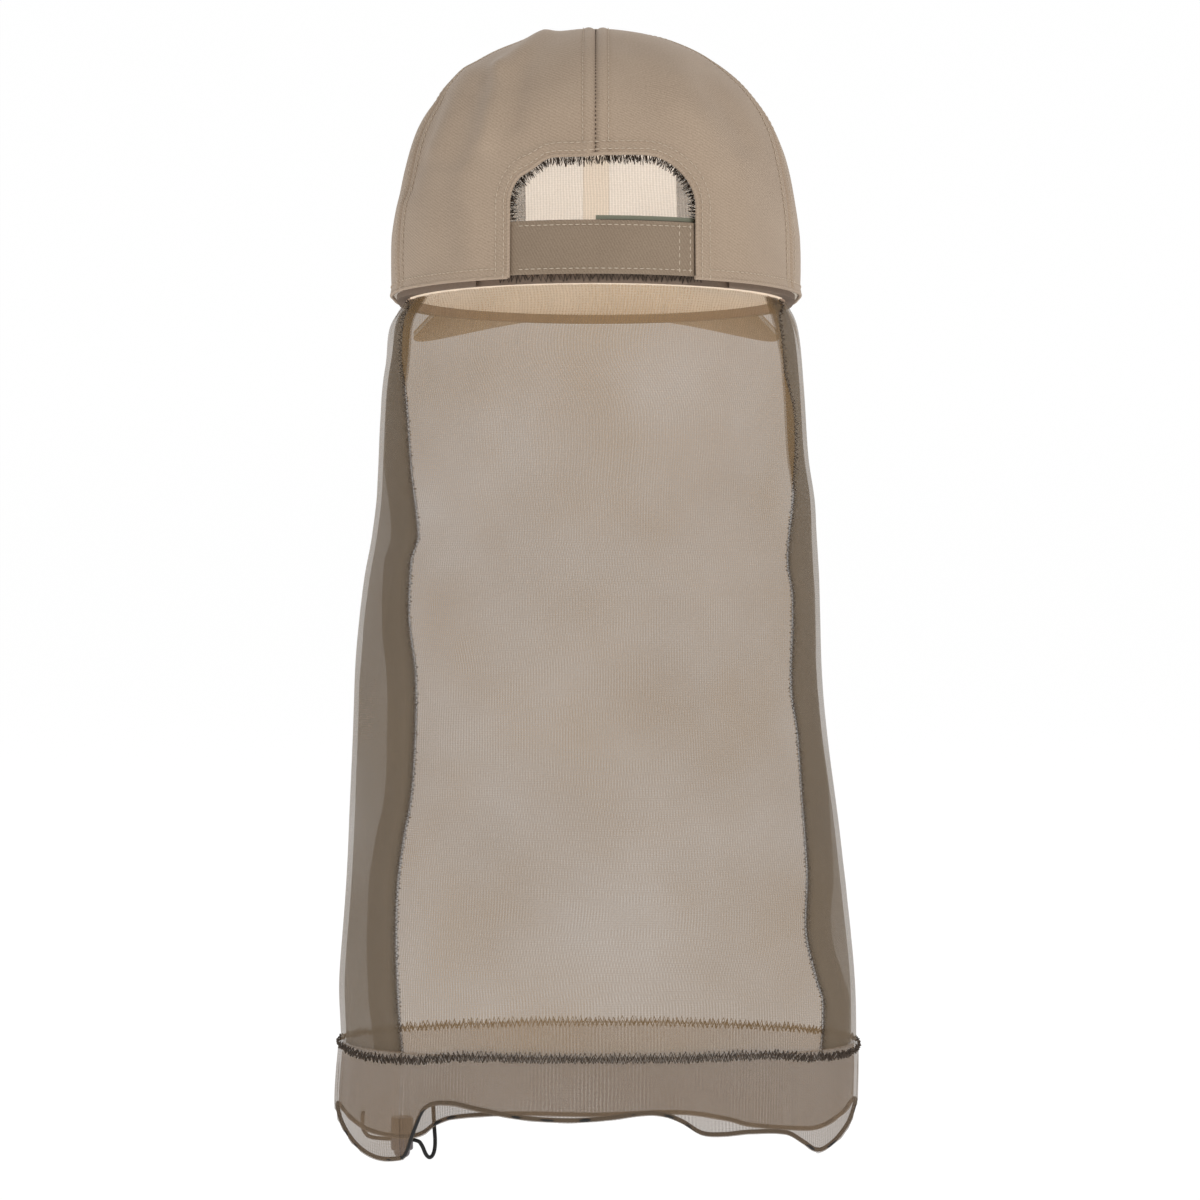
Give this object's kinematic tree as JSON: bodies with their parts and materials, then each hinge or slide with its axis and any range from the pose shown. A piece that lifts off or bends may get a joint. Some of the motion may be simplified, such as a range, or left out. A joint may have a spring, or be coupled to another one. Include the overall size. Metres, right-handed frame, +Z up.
{
  "type": "cap with built-in net veil",
  "caption": "Soft twill cap with a stiff visor and a rear strap closure, and a long fine-net veil sewn inside its rim that closes below with a drawcord and cord lock.",
  "frame": {"origin": "centre of the head opening, in the plane of the cap's rim", "axes": "+Z up through the crown, the wearer faces -Y, +X is the wearer's left"},
  "size_m": [0.2312, 0.2662, 0.5028],
  "materials": {
    "twill": "khaki cotton twill",
    "sweatband_cotton": "plain cotton band",
    "seam_tape": "woven tape",
    "buckram": "stiff white buckram",
    "tab_tape": "woven nylon",
    "loop_pile": "napped loop tape",
    "hook_nylon": "moulded hook tape",
    "backing_steel": "plated steel",
    "visor_plastic": "moulded polyethylene sheet",
    "net": "fine knitted polyester net",
    "overlock": "overlocked net edge",
    "cord": "braided elastic cord",
    "lock_plastic": "moulded acetal",
    "spring_steel": "spring wire"
  },
  "bodies": {
    "cap": {"back_panel_left": "twill", "back_panel_right": "twill", "side_panel_left": "twill", "side_panel_right": "twill", "front_panel_left": "twill", "front_panel_right": "twill", "top_button": "twill", "visor_top_cover": "twill", "visor_under_cover": "twill", "opening_facing": "twill", "strap_sewn_end": "twill", "sweatband": "sweatband_cotton", "crown_seam_tapes": "seam_tape", "front_buckram": "buckram", "loop_tab": "tab_tape", "loop_tape": "loop_pile", "button_backing": "backing_steel", "visor_board": "visor_plastic", "arch_net_insert": "net", "veil_back_panel": "net", "veil_front_panel": "net", "arch_net_seam": "overlock", "veil_rim_seam": "overlock", "veil_side_seam_left": "overlock", "veil_side_seam_right": "overlock"},
    "strap": {"adjust_strap": "twill", "hook_tape": "hook_nylon"},
    "hem": {"hem_casing_back": "net", "hem_casing_front": "net", "hem_seam_back": "overlock", "hem_seam_front": "overlock", "drawcord_ring": "cord", "drawcord_loop": "cord"},
    "lock": {"lock_barrel": "lock_plastic", "lock_spring": "spring_steel"},
    "plunger": {"lock_plunger": "lock_plastic"}
  },
  "joints": [
    {"name": "strap_peel", "type": "hinge", "parent": "cap", "child": "strap", "pos_m": [0.0338, 0.0894, 0.0127], "axis": [0, 0, -1], "range_deg": [0, 100]},
    {"name": "hem_lift", "type": "slide", "parent": "cap", "child": "hem", "axis": [0, 0, 1], "range_m": [0, 0.27], "deforming": ["veil_back_panel", "veil_front_panel", "veil_side_seam_left", "veil_side_seam_right"]},
    {"name": "lock_slide", "type": "slide", "parent": "hem", "child": "lock", "axis": [1, 0, 0], "range_m": [0, 0.005]},
    {"name": "plunger_press", "type": "slide", "parent": "lock", "child": "plunger", "axis": [0, 0, 1], "range_m": [0, 0.003], "stiffness_N_per_m": 600, "springref_m": -0.002, "deforming": ["lock_spring"]}
  ]
}
